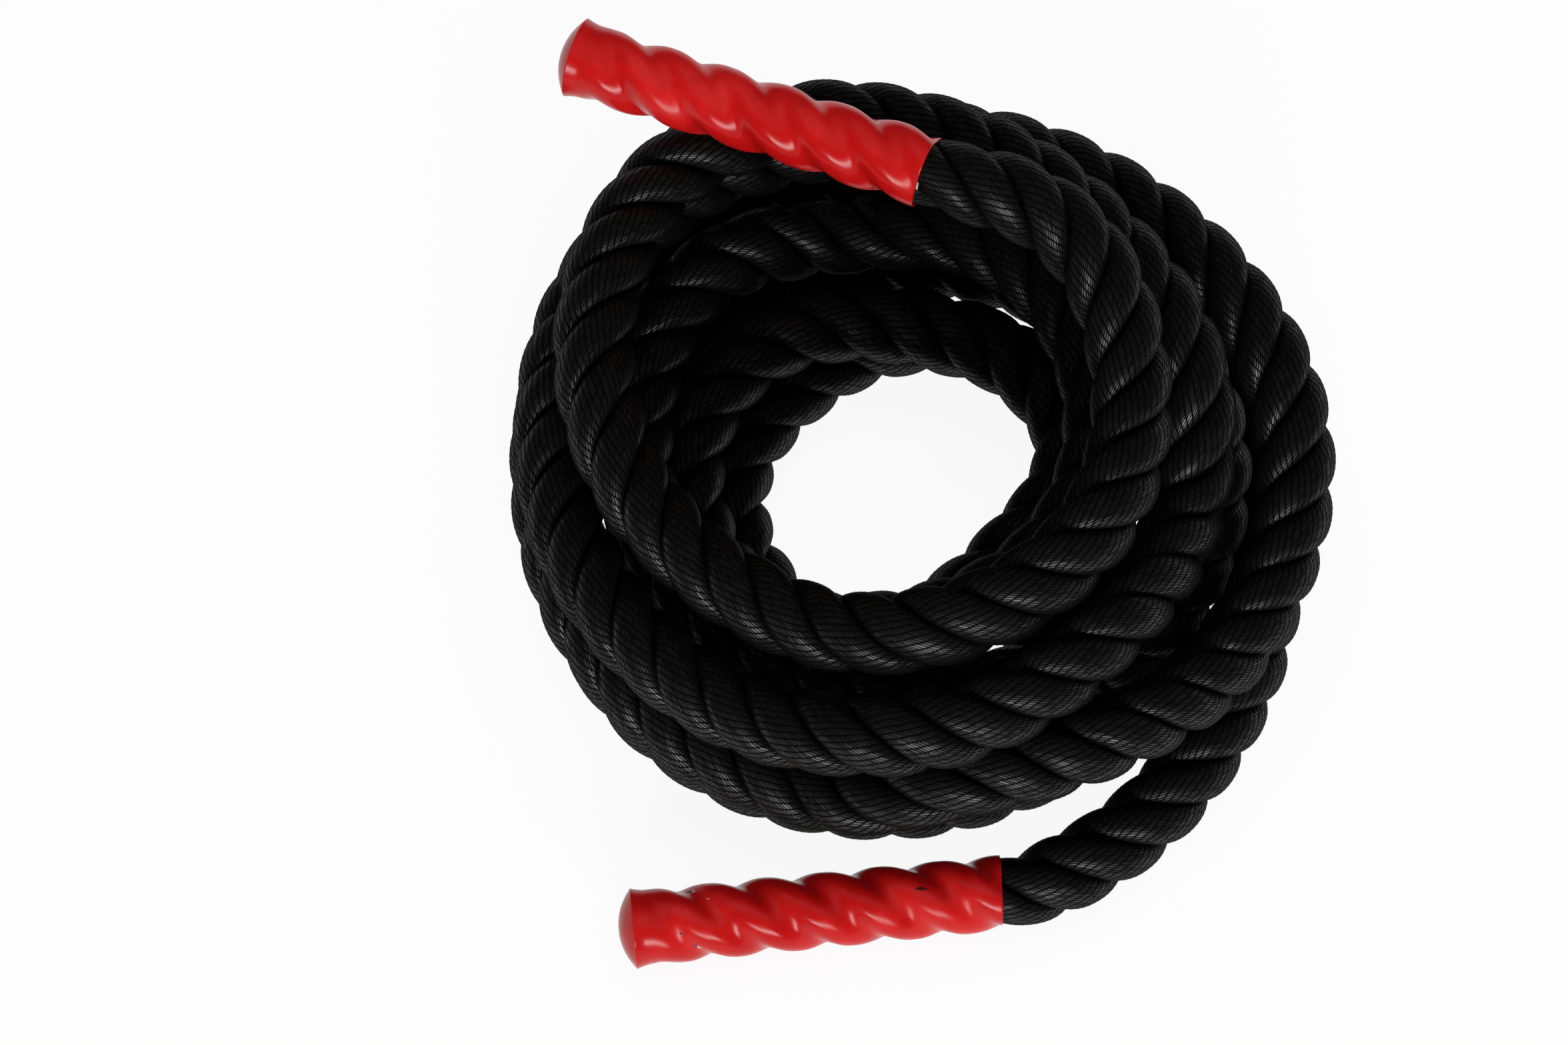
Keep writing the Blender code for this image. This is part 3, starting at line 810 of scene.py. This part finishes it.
def add_floor():
    """A matt floor that mixes with plain white wherever the camera or a reflection looks at it."""
    mesh = bpy.data.meshes.new("floor")
    half = FLOOR_SIZE / 2
    corners = [(x * half, y * half, -FLOOR_DROP) for x, y in ((-1, -1), (1, -1), (1, 1), (-1, 1))]
    mesh.from_pydata(corners, [], [(0, 1, 2, 3)])
    floor = bpy.data.objects.new("floor", mesh)
    bpy.context.scene.collection.objects.link(floor)
    material, tree, shader = new_material(
        "white_floor", Base_Color=(0.9, 0.9, 0.9, 1), Roughness=0.9, Specular_IOR_Level=0.0,
    )
    seen = add_node(tree, "LightPath").outputs
    direct = math_node(tree, "MAXIMUM", seen["Is Camera Ray"], seen["Is Glossy Ray"])
    direct = math_node(tree, "MAXIMUM", direct, seen["Is Transmission Ray"])
    white = add_node(tree, "Emission", Color=(1, 1, 1, 1), Strength=1.0).outputs[0]
    both = tree.nodes.new("ShaderNodeMixShader")
    tree.links.new(math_node(tree, "MULTIPLY", direct, WHITE_SHARE), both.inputs[0])
    tree.links.new(shader.outputs[0], both.inputs[1])
    tree.links.new(white, both.inputs[2])
    tree.links.new(both.outputs[0], tree.nodes["Material Output"].inputs["Surface"])
    mesh.materials.append(material)


add_floor()
print("the floor's side in metres:", FLOOR_SIZE)

# %% [markdown]
# ## The light
#
# The small bright dashes of the rope lie on the sides of the strands that face the front. So the
# main lamp is a wide, low strip, in front and far away. A lamp above the pile fills the shadows,
# and the sky gives a little from all sides. The lamp above is left out of the highlights, since a
# black rope that mirrors a lamp above it turns grey.

# %% The lamps
SKY_STRENGTH = 0.08


def add_lamp(name, elevation, azimuth, distance, width, height, power, mirrored=True):
    """A soft lamp that looks at the pile. Azimuth 0 is in front, positive to the right. A lamp that
    isn't mirrored gives light but no highlight."""
    data = bpy.data.lights.new(name, "AREA")
    data.shape = "RECTANGLE"
    data.size = width
    data.size_y = height
    data.energy = power
    lamp = bpy.data.objects.new(name, data)
    bpy.context.scene.collection.objects.link(lamp)
    up, turn = radians(elevation), radians(azimuth)
    away = Vector((sin(turn) * cos(up), -cos(turn) * cos(up), sin(up)))
    lamp.location = distance * away
    lamp.rotation_euler = away.to_track_quat("Z", "Y").to_euler()
    lamp.visible_glossy = mirrored


add_lamp("key_lamp", elevation=24, azimuth=4, distance=5.0, width=3.4, height=1.1, power=200)
add_lamp(
    "overhead_lamp", elevation=78, azimuth=170, distance=1.5, width=2.0, height=2.0, power=18,
    mirrored=False,
)

world = bpy.data.worlds.new("studio")
bpy.context.scene.world = world
world.use_nodes = True
sky = world.node_tree.nodes["Background"].inputs
sky["Color"].default_value = (1, 1, 1, 1)
sky["Strength"].default_value = SKY_STRENGTH
bpy.context.scene.view_settings.view_transform = "Standard"
print("lamps:", sorted(light.name for light in bpy.data.lights))
